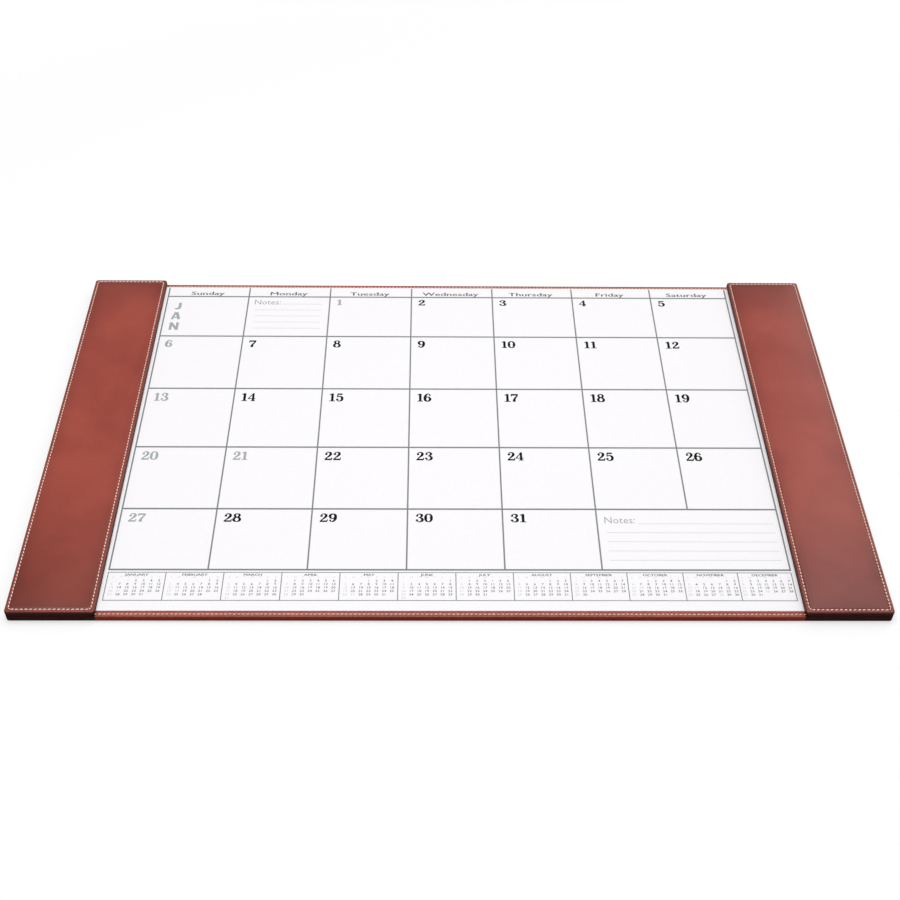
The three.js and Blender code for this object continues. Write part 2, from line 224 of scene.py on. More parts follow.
# Plain fibrous finishes: two colours mixed by a noise, with a bump at a second scale
plainFinishes = {
    "black_felt": {
        "colours": (linear(34, 31, 30), linear(20, 18, 18)), "roughness": 0.95, "specular": 0.15,
        "colourScale": 500, "grainScale": 2600, "bump": 0.25, "strength": 0.7, "sheen": 0.3,
    },
    "grey_board": {
        "colours": (linear(168, 146, 116), linear(146, 124, 96)), "roughness": 0.88, "specular": 0.2,
        "colourScale": 160, "grainScale": 1400, "bump": 0.12, "strength": 0.5, "sheen": 0,
    },
    # spacers: dark edge paint, and painted shade in the groove between rail and mat
    "edge_paint_and_shade_board": {
        "colours": (linear(44, 24, 19), linear(30, 16, 13)), "roughness": 0.7, "specular": 0.25,
        "colourScale": 220, "grainScale": 1400, "bump": 0.08, "strength": 0.5, "sheen": 0,
    },
    "edge_dye_and_shade": {   # edge paint of the leather on the walls, made darker as painted shade where the walls face away from the light and under the rails
        "colours": (linear(70, 25, 18), linear(54, 20, 15)), "roughness": 0.75, "specular": 0.12,
        "colourScale": 90, "grainScale": 1500, "bump": 0.05, "strength": 0.4, "sheen": 0,
    },
    "rubbed_edge": {   # leather on the mat's own front and rear walls
        "colours": (linear(166, 52, 31), linear(148, 44, 26)), "roughness": 0.7, "specular": 0.15,
        "colourScale": 90, "grainScale": 1500, "bump": 0.05, "strength": 0.4, "sheen": 0,
    },
    "foam_sheet": {
        "colours": (linear(232, 226, 204), linear(216, 208, 184)), "roughness": 0.95, "specular": 0.1,
        "colourScale": 900, "grainScale": 2200, "bump": 0.3, "strength": 0.8, "sheen": 0.1,
    },
    "grey_card": {
        "colours": (linear(190, 183, 171), linear(172, 164, 152)), "roughness": 0.9, "specular": 0.2,
        "colourScale": 420, "grainScale": 1900, "bump": 0.05, "strength": 0.5, "sheen": 0,
    },
    "writing_paper": {
        "colours": (linear(252, 250, 252), linear(249, 247, 249)), "roughness": 0.8, "specular": 0.25,
        "colourScale": 260, "grainScale": 1800, "bump": 0.02, "strength": 0.3, "sheen": 0,
    },
}
inkTones = {   # the two colours, roughness and specular level of each ink
    "black_ink": (linear(12, 12, 13), linear(22, 22, 24), 0.7, 0.1),
    "line_ink": (linear(124, 128, 132), linear(135, 139, 143), 0.7, 0.15),
    "weekday_ink": (linear(88, 90, 93), linear(100, 102, 105), 0.6, 0.3),
    "grey_ink": (linear(163, 166, 170), linear(173, 176, 180), 0.6, 0.3),
    "pale_ink": (linear(206, 208, 212), linear(214, 216, 220), 0.6, 0.3),
}
for inkName, (dark, light, roughness, specular) in inkTones.items():
    plainFinishes[inkName] = {
        "colours": (dark, light), "roughness": roughness, "specular": specular,
        "colourScale": 700, "grainScale": 1800, "bump": 0.01, "strength": 0.3, "sheen": 0,
    }


def plainMaterial(name):
    finish = plainFinishes[name]
    material, nodes, links, shader = newMaterial(name, finish["roughness"], finish["specular"])
    place = objectCoordinates(nodes)
    cloud = addNoise(nodes, links, place, finish["colourScale"], 4, 0.6)
    first, second = finish["colours"]
    blend = addRange(nodes, links, cloud, 0.3, 0.7, 0, 1)
    links.new(addMix(nodes, links, blend, first, second), shader.inputs["Base Color"])
    grain = addNoise(nodes, links, place, finish["grainScale"], 3, 0.6)
    links.new(addBump(nodes, links, grain, finish["bump"], finish["strength"]), shader.inputs["Normal"])
    shader.inputs["Sheen Weight"].default_value = finish["sheen"]
    return material


leather = leatherMaterial()
thread = threadMaterial()
plain = {name: plainMaterial(name) for name in plainFinishes}
print("materials made:", 2 + len(plain))


# Leather panels, each wrapped round its board: the mat's cover and the two rail covers

rollTurns = 6                # faces round a rolled edge
foldShare = 0.3              # a folded edge's middle, as a share of its radius


def stations(length, roll, fineReach, fineStep, fieldStep):
    # places across a panel, closer together round the rolled edge and the seam
    near = [roll * (1 - math.cos(math.radians(90 * turn / rollTurns))) for turn in range(rollTurns)]
    fineCount = math.ceil((fineReach - roll) / fineStep)
    near += [roll + step * (fineReach - roll) / fineCount for step in range(fineCount)]
    fieldCount = math.ceil((length - 2 * fineReach) / fieldStep)
    field = [fineReach + step * (length - 2 * fineReach) / fieldCount for step in range(fieldCount + 1)]
    return near + field + [length - place for place in reversed(near)]


def rollDrop(inset, radius):
    # how far a quarter round edge lies under the top
    if inset >= radius:
        return 0
    return radius - math.sqrt(max(radius ** 2 - (radius - inset) ** 2, 0))


def roundCorner(fromSide, fromEnd, radius):
    # moves a point of a square corner into a round one; gives both distances and the inset
    if fromSide >= radius or fromEnd >= radius:
        return fromSide, fromEnd, min(fromSide, fromEnd)
    across, along = 1 - fromSide / radius, 1 - fromEnd / radius
    across, along = across * math.sqrt(1 - along ** 2 / 2), along * math.sqrt(1 - across ** 2 / 2)
    return radius * (1 - across), radius * (1 - along), radius * (1 - math.hypot(across, along))


def wrappedPanel(low, high, settings, topOf, toneOf, finishOf, acrossPlaces, alongPlaces, underside):
    # top surface as a fine grid, then its border goes down the wall and in under the turned edge;
    # the three functions give a point's height, its tone of edge dye and painted shade, and which finish a
    # face has
    size = high - low
    centre = (low + high) / 2
    bm = bmesh.new()
    columns, rows = len(acrossPlaces) - 1, len(alongPlaces) - 1
    bmesh.ops.create_grid(bm, x_segments=columns, y_segments=rows, size=0.5)
    toneLayer = bm.verts.layers.float.new("dyeAndPaintedShade")
    for vert in bm.verts:
        x = acrossPlaces[round((vert.co.x + 0.5) * columns)]
        y = alongPlaces[round((vert.co.y + 0.5) * rows)]
        signX, signY = (-1 if x < size.x / 2 else 1), (-1 if y < size.y / 2 else 1)
        fromSide, fromEnd, inset = roundCorner(
            min(x, size.x - x), min(y, size.y - y), settings["cornerRadius"])
        place = Vector((signX * (size.x / 2 - fromSide), signY * (size.y / 2 - fromEnd), 0))
        vert.co = place + Vector((centre.x, centre.y, topOf(place, fromSide, fromEnd, inset)))
        vert[toneLayer] = toneOf(vert.co, inset)
    topFaces = len(bm.faces)
    border = [edge for edge in bm.edges if edge.is_boundary]
    lastInset = 0
    toCentre = Matrix.Translation((-centre.x, -centre.y, 0))
    for inset, z in underside:
        made = bmesh.ops.extrude_edge_only(bm, edges=border)["geom"]
        ring = ofType(made, bmesh.types.BMVert)
        shrink = [(size[axis] / 2 - inset) / (size[axis] / 2 - lastInset) for axis in (0, 1)]
        bmesh.ops.scale(bm, vec=(*shrink, 1), space=toCentre, verts=ring)
        for vert in ring:
            vert.co.z = z
            vert[toneLayer] = settings["wallTone"]
        border = [edge for edge in ofType(made, bmesh.types.BMEdge) if edge.is_boundary]
        lastInset = inset
    bmesh.ops.edgeloop_fill(bm, edges=border)
    for k, face in enumerate(bm.faces):
        face.material_index = finishOf(face.calc_center_median(), k >= topFaces)
    bmesh.ops.recalc_face_normals(bm, faces=bm.faces)
    return bm


def smoothStep(value, start, end):
    share = min(max((value - start) / (end - start), 0), 1)
    return share * share * (3 - 2 * share)


def seamDip(offSeam, phase, settings):
    # the seam presses a furrow into the leather, deepest at each needle hole
    atHole = 0.5 + 0.5 * math.cos(2 * math.pi * phase)
    furrow = settings["seamDepth"] * math.exp(-(offSeam / settings["seamWidth"]) ** 2)
    hole = settings["holeDepth"] * atHole ** 4 * math.exp(-(offSeam / settings["holeWidth"]) ** 2)
    pucker = settings["pucker"] * (atHole - 0.5) * math.exp(-(offSeam / settings["puckerReach"]) ** 2)
    return furrow + hole + pucker


rail = {
    "cornerRadius": 3,
    "edgeRadius": 1.6,
    "lipDrop": 0.5,          # the lip lies this far under the CAD crown
    "wallTone": 0.9,         # edge dye and painted shade at the foot of the rolled edge
    "lipTone": 0.2,
    "lipFade": 1.4,
    "paintedShade": {             # painted shade: the leather is darker by the seam and toward its ends, where the light falls off: amount, reach
        "seam": (0.14, 9), "front": (0.38, 115), "rear": (0.3, 45),
    },
    "roofDrop": 1.9,         # inside of the leather along the seam, under the CAD crown
    "inside": ((1.5, 1.9), (5.5, 1.15), (12.5, 1)),   # further in: distance from the seam, drop
    "seamInset": 3.6,
    "cornerCut": 1.8,        # the seam turns each corner on a slant
    "seamDepth": 0.6,
    "seamWidth": 0.95,
    "holeDepth": 0.35,
    "holeWidth": 0.5,
    "pucker": 0.16,
    "puckerReach": 2.6,
    "sidePitch": 4.2,
    "endPitch": 4.36,
    "fineReach": 8.5,
    "fineStep": 0.5,
    "fieldStep": 1.08,
    "waveHeight": 0.1,       # slow unevenness of the hand-wrapped leather
    "waveLength": 55,
    "waveFade": 14,
    "waveSeed": {"left": 40, "right": 90},
    "leather": 1,
    "turnIn": 12,
    "turnInThickness": 0.8,
    "underRadius": 0.6,
}


def seamCount(length, pitch):
    return max(1, round(length / pitch))


def cutCorner(fromSide, fromEnd):
    # distance inside the rail's seam line, whose corners are cut off
    seam, cut = rail["seamInset"], rail["cornerCut"]
    slant = (fromSide + fromEnd - 2 * seam - cut) / math.sqrt(2)
    return min(fromSide - seam, fromEnd - seam, slant)


puff = {
    "cell": 4,               # size of the simulated sheet's squares
    "pressure": 9,
    "frames": 20,
    "quality": 6,
    "mass": 0.4,
    "stiffness": 8,
    "bending": 2,
    "softCap": 2.5,          # highest rise of the crown
    "quickRise": 7,          # without the simulation: how fast the crown rises, and its height
    "quickShare": 0.93,
}


def simulatedPuff(width, depth):
    # leather over the foam: a sheet held along the seam and blown up from below
    bm = bmesh.new()
    columns, rows = round(width / puff["cell"]), round(depth / puff["cell"])
    bmesh.ops.create_grid(bm, x_segments=columns, y_segments=rows, size=0.5)
    bmesh.ops.scale(bm, vec=(width * mm, depth * mm, 1), verts=bm.verts)
    held = [vert.index for vert in bm.verts if vert.is_boundary]
    mesh = bpy.data.meshes.new("puff_sheet")
    bm.to_mesh(mesh)
    bm.free()
    sheet = bpy.data.objects.new("puff_sheet", mesh)
    bpy.context.scene.collection.objects.link(sheet)
    sheet.vertex_groups.new(name="seam").add(held, 1, "REPLACE")
    cloth = sheet.modifiers.new("leather", "CLOTH")
    cloth.settings.quality = puff["quality"]
    cloth.settings.mass = puff["mass"]
    cloth.settings.tension_stiffness = puff["stiffness"]
    cloth.settings.compression_stiffness = puff["stiffness"]
    cloth.settings.bending_stiffness = puff["bending"]
    cloth.settings.vertex_group_mass = "seam"
    cloth.settings.use_pressure = True
    cloth.settings.uniform_pressure_force = puff["pressure"]
    cloth.settings.effector_weights.gravity = 0
    cloth.point_cache.frame_end = puff["frames"]
    scene = bpy.context.scene
    for step in range(1, puff["frames"] + 1):
        scene.frame_set(step)
    finer = sheet.modifiers.new("finer", "SUBSURF")
    finer.levels = finer.render_levels = 2
    finer.boundary_smooth = "PRESERVE_CORNERS"
    graph = bpy.context.evaluated_depsgraph_get()
    blown = bmesh.new()
    blown.from_mesh(sheet.evaluated_get(graph).to_mesh())
    highest = max(vert.co.z for vert in blown.verts) / mm
    tree = BVHTree.FromBMesh(blown)
    blown.free()
    bpy.data.objects.remove(sheet)
    scene.frame_set(1)
    print(f"simulated crown: {highest:.2f} mm before its cap")

    def heightAt(x, y):
        hit = tree.ray_cast(Vector((x * mm, y * mm, 1)), Vector((0, 0, -1)))[0]
        raw = hit.z / mm if hit else 0
        return puff["softCap"] * math.tanh(max(raw, 0) / puff["softCap"])
    return heightAt


def railCover(place):
    low, high = boxInMm(f"{place}_rail_cover")
    size = high - low
    lip = high.z - rail["lipDrop"]
    seam = rail["seamInset"]
    padWidth, padDepth = size.x - 2 * seam, size.y - 2 * seam
    puffAt = simulatedPuff(padWidth, padDepth)
    run = {"side": padDepth - 2 * rail["cornerCut"], "end": padWidth - 2 * rail["cornerCut"]}
    pitch = {
        "side": run["side"] / seamCount(run["side"], rail["sidePitch"]),
        "end": run["end"] / seamCount(run["end"], rail["endPitch"]),
    }
    seed = Vector((0, 0, rail["waveSeed"][place]))

    def topOf(spot, fromSide, fromEnd, inset):
        nearSide = fromSide < fromEnd
        along = (fromEnd if nearSide else fromSide) - seam - rail["cornerCut"]
        phase = max(along, 0) / pitch["side" if nearSide else "end"]
        offSeam = cutCorner(fromSide, fromEnd)
        z = lip - rollDrop(inset, rail["edgeRadius"]) - seamDip(offSeam, phase, rail)
        if offSeam > 0:
            slow = noise.noise((spot + seed) / rail["waveLength"])
            z += puffAt(spot.x, spot.y)
            z += rail["waveHeight"] * slow * smoothStep(offSeam, 0, rail["waveFade"])
        return z

    def toneOf(spot, inset):
        # the lip and the rolled edge are darker: edge dye and painted shade
        if inset < seam:
            down = 1 - smoothStep(inset, 0, rail["lipFade"])
            return rail["lipTone"] + (rail["wallTone"] - rail["lipTone"]) * down
        # painted shade, darker by the seam and toward the front and rear ends
        distances = {"seam": inset - seam, "front": spot.y - low.y, "rear": high.y - spot.y}
        tone = 0
        for part, (amount, reach) in rail["paintedShade"].items():
            tone += amount * math.exp(-(distances[part] / reach) ** 2)
        return tone

    def finishOf(spot, onWall):
        return 1 if onWall else 0

    flangeTop = low.z + rail["turnInThickness"]
    shell, fold = rail["leather"], rail["underRadius"]
    flangeInset = shell + rail["turnIn"]
    underside = [
        (0, (lip + low.z) / 2),
        (0, low.z + fold),
        (foldShare * fold, low.z + foldShare * fold),
        (fold, low.z),
        (flangeInset, low.z),
        (flangeInset, flangeTop),
        (shell, flangeTop),
        (shell, high.z - rail["roofDrop"]),
        *((seam + distance, high.z - drop) for distance, drop in rail["inside"]),
    ]
    steps = (rail["edgeRadius"], rail["fineReach"], rail["fineStep"], rail["fieldStep"])
    across, along = stations(size.x, *steps), stations(size.y, *steps)
    bm = wrappedPanel(low, high, rail, topOf, toneOf, finishOf, across, along, underside)
    name = f"{place}_rail_padded_leather"
    piece = addPiece(name, bm, (leather, plain["edge_dye_and_shade"]), "leather", f"{place}_rail_cover", sharpAngle=60)


for place in ("left", "right"):
    railCover(place)
    print(place, "rail cover made")

mat = {
    "cornerRadius": 3,
    "edgeRadius": 1.3,
    "wallTone": 0.6,
    "seamInset": 3.5,
    "seamDepth": 0.42,
    "seamWidth": 0.8,
    "holeDepth": 0.3,
    "holeWidth": 0.5,
    "pucker": 0.12,
    "puckerReach": 1.8,
    "pitch": 4.36,
    "stripReach": 7,         # the fine grid ends just behind the paper's edge
    "fineStep": 0.45,
    "acrossStep": 1.09,
    "hiddenStep": 24,
    "leather": 1,
    "turnIn": 14,
    "turnInThickness": 0.8,
    "underRadius": 0.6,
}


def matCover():
    low, high = boxInMm("base_cover")
    size = high - low
    threadLow, threadHigh = boxInMm("front_edge_thread")
    threadRun = threadHigh.x - threadLow.x
    pitch = threadRun / seamCount(threadRun, mat["pitch"])

    def topOf(spot, fromSide, fromEnd, inset):
        z = high.z - rollDrop(inset, mat["edgeRadius"])
        if threadLow.x <= spot.x <= threadHigh.x:
            phase = (spot.x - threadLow.x) / pitch
            z -= seamDip(fromEnd - mat["seamInset"], phase, mat)
        return z

    def toneOf(spot, inset):
        # the rolled edge darkens toward its foot: edge dye and painted shade
        return mat["wallTone"] * (1 - smoothStep(inset, 0, mat["edgeRadius"]))

    def finishOf(spot, onWall):
        if abs(spot.x) > railEdge:
            return 1
        return 2 if onWall else 0

    railEdge = boxInMm("right_rail_cover")[0].x
    shell, fold = mat["leather"], mat["underRadius"]
    flangeTop = low.z + mat["turnInThickness"]
    flangeInset = shell + mat["turnIn"]
    underside = [
        (0, (high.z + low.z) / 2),
        (0, low.z + fold),
        (foldShare * fold, low.z + foldShare * fold),
        (fold, low.z),
        (flangeInset, low.z),
        (flangeInset, flangeTop),
        (shell, flangeTop),
        (shell, high.z - shell),
    ]
    across = stations(size.x, mat["edgeRadius"], 2 * mat["edgeRadius"], mat["fineStep"], mat["acrossStep"])
    along = stations(size.y, mat["edgeRadius"], mat["stripReach"], mat["fineStep"], mat["hiddenStep"])
    bm = wrappedPanel(low, high, mat, topOf, toneOf, finishOf, across, along, underside)
    finishes = (leather, plain["edge_dye_and_shade"], plain["rubbed_edge"])
    addPiece("mat_leather", bm, finishes, "leather", "base_cover", sharpAngle=60)


matCover()
print("mat cover made")

# Sewing: separate stitches, each slanted a little across its seam, with its ends in the needle holes

stitch = {
    "radius": {"rail": 0.58, "edge": 0.42},
    "share": 0.78,           # visible length as a share of the pitch
    "slant": 8,              # degrees
    "slantSpread": 0.3,      # as a share of the slant
    "plump": 0.8,            # under 1 the stitch keeps its thickness further along
    "dip": 0.4,             # how far the ends sink
    "lift": {"rail": 0.9, "edge": 0.5},   # height of the middle over the furrow, in radii
    "sides": 8,
    "rings": 6,
    "wobble": 0.06,
}


def masterStitch():
    # one stitch of unit pitch along x, plump in its middle
    bm = bmesh.new()
    bm.loops.layers.uv.new("thread")
    bmesh.ops.create_uvsphere(
        bm, u_segments=stitch["sides"], v_segments=stitch["rings"], radius=1, calc_uvs=True)
    bmesh.ops.rotate(bm, matrix=Matrix.Rotation(math.pi / 2, 3, "Y"), verts=bm.verts)
    mesh = bpy.data.meshes.new("master_stitch")
    bm.to_mesh(mesh)
    bm.free()
    return mesh


stitchMesh = masterStitch()


def addStitch(bm, start, end, z, radius, draw):
    middle, along = (start + end) / 2, end - start
    half = along.length * stitch["share"] / 2
    before = len(bm.verts)
    bm.from_mesh(stitchMesh)
    bm.verts.ensure_lookup_table()
    fresh = bm.verts[before:]
    for vert in fresh:
        reach = vert.co.x
        vert.co.x = math.copysign(max(abs(reach), 1e-6) ** stitch["plump"], reach) * half
        vert.co.y *= radius
        vert.co.z = vert.co.z * radius - stitch["dip"] * reach ** 2
    slant = stitch["slant"] * (1 + stitch["slantSpread"] * draw.uniform(-1, 1))
    turn = math.atan2(along.y, along.x) + math.radians(slant)
    shift = Vector((draw.uniform(-1, 1), draw.uniform(-1, 1))) * stitch["wobble"]
    matrix = Matrix.Translation((middle.x + shift.x, middle.y + shift.y, z)) @ Matrix.Rotation(turn, 4, "Z")
    bmesh.ops.transform(bm, matrix=matrix, verts=fresh)


def addRun(bm, start, end, pitch, floorZ, kind, draw):
    radius = stitch["radius"][kind]
    count = seamCount((end - start).length, pitch)
    holes = [start.lerp(end, hole / count) for hole in range(count + 1)]
    for first, second in zip(holes, holes[1:]):
        addStitch(bm, first, second, floorZ + stitch["lift"][kind] * radius, radius, draw)
    return count


def newStitchMesh():
    bm = bmesh.new()
    bm.loops.layers.uv.new("thread")
    return bm


def railThread(place, seed):
    low, high = boxInMm(f"{place}_rail_cover")
    bm = newStitchMesh()
    draw = random.Random(seed)
    seam, cut = rail["seamInset"], rail["cornerCut"]
    left, right, front, rear = low.x + seam, high.x - seam, low.y + seam, high.y - seam
    floorZ = high.z - rail["lipDrop"] - rail["seamDepth"]
    turns = [
        Vector((left + cut, front)), Vector((right - cut, front)),
        Vector((right, front + cut)), Vector((right, rear - cut)),
        Vector((right - cut, rear)), Vector((left + cut, rear)),
        Vector((left, rear - cut)), Vector((left, front + cut)),
    ]
    sewn = 0
    for k, start in enumerate(turns):
        pitch = rail["endPitch"] if k % 4 == 0 else rail["sidePitch"]
        sewn += addRun(bm, start, turns[(k + 1) % len(turns)], pitch, floorZ, "rail", draw)
    addPiece(f"{place}_rail_stitches", bm, (thread,), "thread", f"{place}_rail_thread")
    return sewn


def edgeThread(place, seed):
    low, high = boxInMm(f"{place}_edge_thread")
    bm = newStitchMesh()
    middle = (low.y + high.y) / 2
    floorZ = low.z - mat["seamDepth"]
    draw = random.Random(seed)
    sewn = addRun(
        bm, Vector((low.x, middle)), Vector((high.x, middle)), mat["pitch"], floorZ, "edge", draw)
    addPiece(f"{place}_edge_stitches", bm, (thread,), "thread", f"{place}_edge_thread")
    return sewn


sewnCount = railThread("left", 3) + railThread("right", 5) + edgeThread("front", 7) + edgeThread("rear", 9)
bpy.data.meshes.remove(stitchMesh)
print("stitches sewn:", sewnCount)

# Pad of month sheets: twelve loose sheets, not quite flush

pad = {
    "sheets": 12,
    "air": 0.01,             # between two sheets
    "slip": 0.14,            # how far a sheet lies out of line
}


def sheetPad():
    low, high = boxInMm("calendar_sheets")
    top = boxInMm("month_grid_print")[0].z
    pitch = (top - low.z) / pad["sheets"]
    draw = random.Random(21)
    bm = bmesh.new()
    size = (high.x - low.x - 2 * pad["slip"], high.y - low.y - 2 * pad["slip"], pitch - pad["air"])
    for under in reversed(range(pad["sheets"])):   # how many sheets lie on top of this one
        made = bmesh.ops.create_cube(bm, size=1)["verts"]
        slip = pad["slip"] if under else 0
        bmesh.ops.scale(bm, vec=size, verts=made)
        x, y = draw.uniform(-slip, slip), draw.uniform(-slip, slip)
        bmesh.ops.translate(bm, vec=(x, y, top - under * pitch - size[2] / 2), verts=made)
    addPiece("month_sheet_pad", bm, (plain["writing_paper"],), "paper", "calendar_sheets", sharpAngle=20)
    return top


pageTop = sheetPad()
print("sheet pad made")

# Print: thin films of ink on the top sheet

ink = {
    "film": 0.04,            # thickness
    "sink": 0.005,           # how far a film's foot lies inside the paper
    "spread": (1.15, 1.5),   # breadth of the grid's lines along x and y, against the CAD print
    "layerStep": 0.1,        # laid on three times, each film is a little thicker than the one before
}


def addFilm(bm, mesh, matrix):
    before = len(bm.verts)
    bm.from_mesh(mesh)
    bm.verts.ensure_lookup_table()
    bmesh.ops.transform(bm, matrix=matrix, verts=bm.verts[before:])


def addPrint(name, bm, inkName, *stoodFor):
    addPiece(name, bm, (plain[inkName],), "print_ink", *stoodFor, sharpAngle=20)


def spread(value, lines, reach, factor):
    # moves the side of a printed line away from the line's middle
    for middle in lines:
        if abs(value - middle) < reach:
            return middle + (value - middle) * factor
    return value


def thinnedCadPrint(node, name, lines=((), ())):
    # the CAD print's own outline, as thin as ink, with its lines a little broader
    bm = bmesh.new()
    bm.from_mesh(cadNodes[node].data)
    bmesh.ops.remove_doubles(bm, verts=bm.verts, dist=1e-6)
    bmesh.ops.scale(bm, vec=(1 / mm, 1 / mm, 1 / mm), verts=bm.verts)
    high = max(vert.co.z for vert in bm.verts)
    for vert in bm.verts:
        vert.co.x = spread(vert.co.x, lines[0], calendar["lineWidth"], ink["spread"][0])
        vert.co.y = spread(vert.co.y, lines[1], calendar["lineWidth"], ink["spread"][1])
        vert.co.z = pageTop + (ink["film"] if vert.co.z > (pageTop + high) / 2 else -ink["sink"])
    addPrint(name, bm, "line_ink", node)


# Day numbers: broad slab figures drawn as strokes, 100 units high. A stroke is a list of
# points with half widths: (x, y, half width). Balls end the curved strokes.
figures = {
    "1": {
        "straight": [
            [(31, 0, 11), (31, 99, 11)], [(6, 4.5, 4.5), (56, 4.5, 4.5)], [(32, 92, 7), (7, 84, 4.5)],
        ], "advance": 60,
    },
    "2": {
        "straight": [[(5, 9, 9), (64, 9, 9)], [(63, 8, 4.5), (65, 31, 4.5)]],
        "curved": [
            [(14, 78, 5), (22, 92, 5), (38, 96, 6), (52, 86, 10), (53, 70, 11.5), (42, 50, 9),
             (24, 30, 6), (11, 12, 5.5)],
        ], "balls": [(17, 72, 11)],
    },
    "3": {
        "curved": [
            [(14, 82, 5), (24, 94, 5), (38, 96, 6), (52, 86, 10), (52, 72, 10.5), (42, 58, 6),
             (28, 53, 4.5)],
            [(28, 53, 4.5), (46, 49, 7), (57, 36, 11), (56, 18, 11), (42, 5, 7), (28, 3.5, 5),
             (14, 14, 5)],
        ], "balls": [(16, 75, 10.5), (14, 23, 11)],
    },
    "4": {
        "straight": [
            [(46, 2, 10.5), (46, 99, 9)], [(45, 95, 4.5), (5, 31, 4.5)],
            [(0, 29, 4.5), (67, 29, 4.5)], [(27, 4.5, 4.5), (65, 4.5, 4.5)],
        ],
    },
    "5": {
        "straight": [[(14, 90, 9), (58, 90, 9)], [(17, 96, 4.5), (14, 50, 4.5)]],
        "curved": [
            [(14, 53, 4.5), (24, 61, 5.5), (38, 62, 7), (54, 50, 11), (57, 34, 11.5), (52, 14, 10),
             (36, 4, 6), (22, 5, 5), (13, 15, 5)],
        ], "balls": [(14, 24, 11)],
    },
    "6": {
        "curved": [
            [(53, 88, 4.5), (40, 97, 5), (24, 86, 9), (14, 62, 11.5), (12, 40, 12), (17, 16, 11),
             (34, 4, 6), (50, 12, 9.5), (57, 30, 11.5), (50, 50, 9), (36, 59, 5), (22, 50, 5), (17, 40, 5)],
        ], "balls": [(54, 80, 9)],
    },
    "7": {
        "straight": [[(3, 89, 10), (64, 89, 10)], [(7, 98, 4.5), (6, 68, 4.5)]],
        "curved": [[(60, 88, 6), (50, 66, 7), (36, 42, 9), (30, 20, 12), (29, 0, 12)]],
    },
    "8": {
        "closed": [
            [(35, 96, 5), (52, 86, 9), (52, 68, 9), (35, 57, 6), (18, 69, 9.5), (18, 86, 9)],
            [(35, 55, 6), (56, 42, 10), (57, 18, 11), (35, 4, 5), (13, 18, 11), (14, 42, 10)],
        ],
    },
    "0": {
        "closed": [
            [(35, 96, 5), (54, 82, 9), (58, 50, 12), (54, 18, 9), (35, 4, 5), (16, 18, 9),
             (12, 50, 12), (16, 82, 9)],
        ],
    },
    # bold letters of the month's tag
    "J": {
        "straight": [[(48, 30, 12), (48, 86, 12)]],
        "curved": [[(48, 34, 12), (43, 15, 11), (28, 8, 9), (8, 9, 8)]], "advance": 60,
    },
    "A": {
        "straight": [
            [(11, 4, 9.5), (35, 95, 9.5)], [(69, 4, 12), (44, 95, 12)], [(22, 30, 7), (60, 30, 7)],
        ], "advance": 80,
    },
    "N": {
        "straight": [
            [(12, 2, 11), (12, 98, 11)], [(14, 92, 11), (64, 8, 11)], [(66, 2, 11), (66, 98, 11)],
        ], "advance": 78,
    },
}
figures["9"] = {   # a six turned half round
    "curved": [[(70 - x, 100 - y, half) for x, y, half in stroke] for stroke in figures["6"]["curved"]],
    "balls": [(70 - x, 100 - y, half) for x, y, half in figures["6"]["balls"]],
}

drawing = {
    "advance": 72,           # from one figure to the next, where a figure has none of its own
    "voxel": 0.8,
    "cutHeight": 0.03,       # of the cut, a little off the strokes' exact middle
    "merge": 0.05,
    "flatAngle": 7,          # degrees
}


def addStroke(curve, points, bent, closed=False):
    spline = curve.splines.new("BEZIER")
    spline.bezier_points.add(len(points) - 1)
    spline.use_cyclic_u = closed
    spline.radius_interpolation = "EASE"
    for knot, (x, y, half) in zip(spline.bezier_points, points):
        knot.co = (x, y, 0)
        knot.radius = half
        knot.handle_left_type = knot.handle_right_type = "AUTO" if bent else "VECTOR"


def advanceOf(name):
    return figures[name].get("advance", drawing["advance"])


def figureMesh(name):
    # the strokes become round bars, are fused, and are cut through their middle to give the outline
    figure = figures[name]
    curve = bpy.data.curves.new("figure", "CURVE")
    curve.dimensions = "3D"
    curve.bevel_depth = 1
    curve.bevel_resolution = 6
    curve.use_fill_caps = True
    curve.resolution_u = 10
    for points in figure.get("straight", []):
        addStroke(curve, points, bent=False)
    for points in figure.get("curved", []):
        addStroke(curve, points, bent=True)
    for points in figure.get("closed", []):
        addStroke(curve, points, bent=True, closed=True)
    bars = bpy.data.objects.new("figure", curve)
    bpy.context.scene.collection.objects.link(bars)
    graph = bpy.context.evaluated_depsgraph_get()
    bm = bmesh.new()
    bm.from_mesh(bars.evaluated_get(graph).to_mesh())
    for x, y, radius in figure.get("balls", []):
        bmesh.ops.create_icosphere(bm, subdivisions=3, radius=radius, matrix=Matrix.Translation((x, y, 0)))
    mesh = bpy.data.meshes.new("figure")
    bm.to_mesh(mesh)
    bm.free()
    bpy.data.objects.remove(bars)
    solid = bpy.data.objects.new("figure", mesh)
    bpy.context.scene.collection.objects.link(solid)
    fuse = solid.modifiers.new("fuse", "REMESH")
    fuse.mode = "VOXEL"
    fuse.voxel_size = drawing["voxel"]
    graph = bpy.context.evaluated_depsgraph_get()
    bm = bmesh.new()
    bm.from_mesh(solid.evaluated_get(graph).to_mesh())
    bpy.data.objects.remove(solid)
    everything = bm.verts[:] + bm.edges[:] + bm.faces[:]
    bmesh.ops.bisect_plane(
        bm, geom=everything, plane_co=(0, 0, drawing["cutHeight"]), plane_no=(0, 0, 1),
        clear_inner=True, clear_outer=True)
    bmesh.ops.remove_doubles(bm, verts=bm.verts, dist=drawing["merge"])
    flat = math.radians(drawing["flatAngle"])
    bmesh.ops.dissolve_limit(bm, angle_limit=flat, verts=bm.verts, edges=bm.edges)
    bmesh.ops.triangle_fill(bm, use_beauty=True, edges=bm.edges, normal=(0, 0, 1))
    return thickened(bm, "figure_" + name)


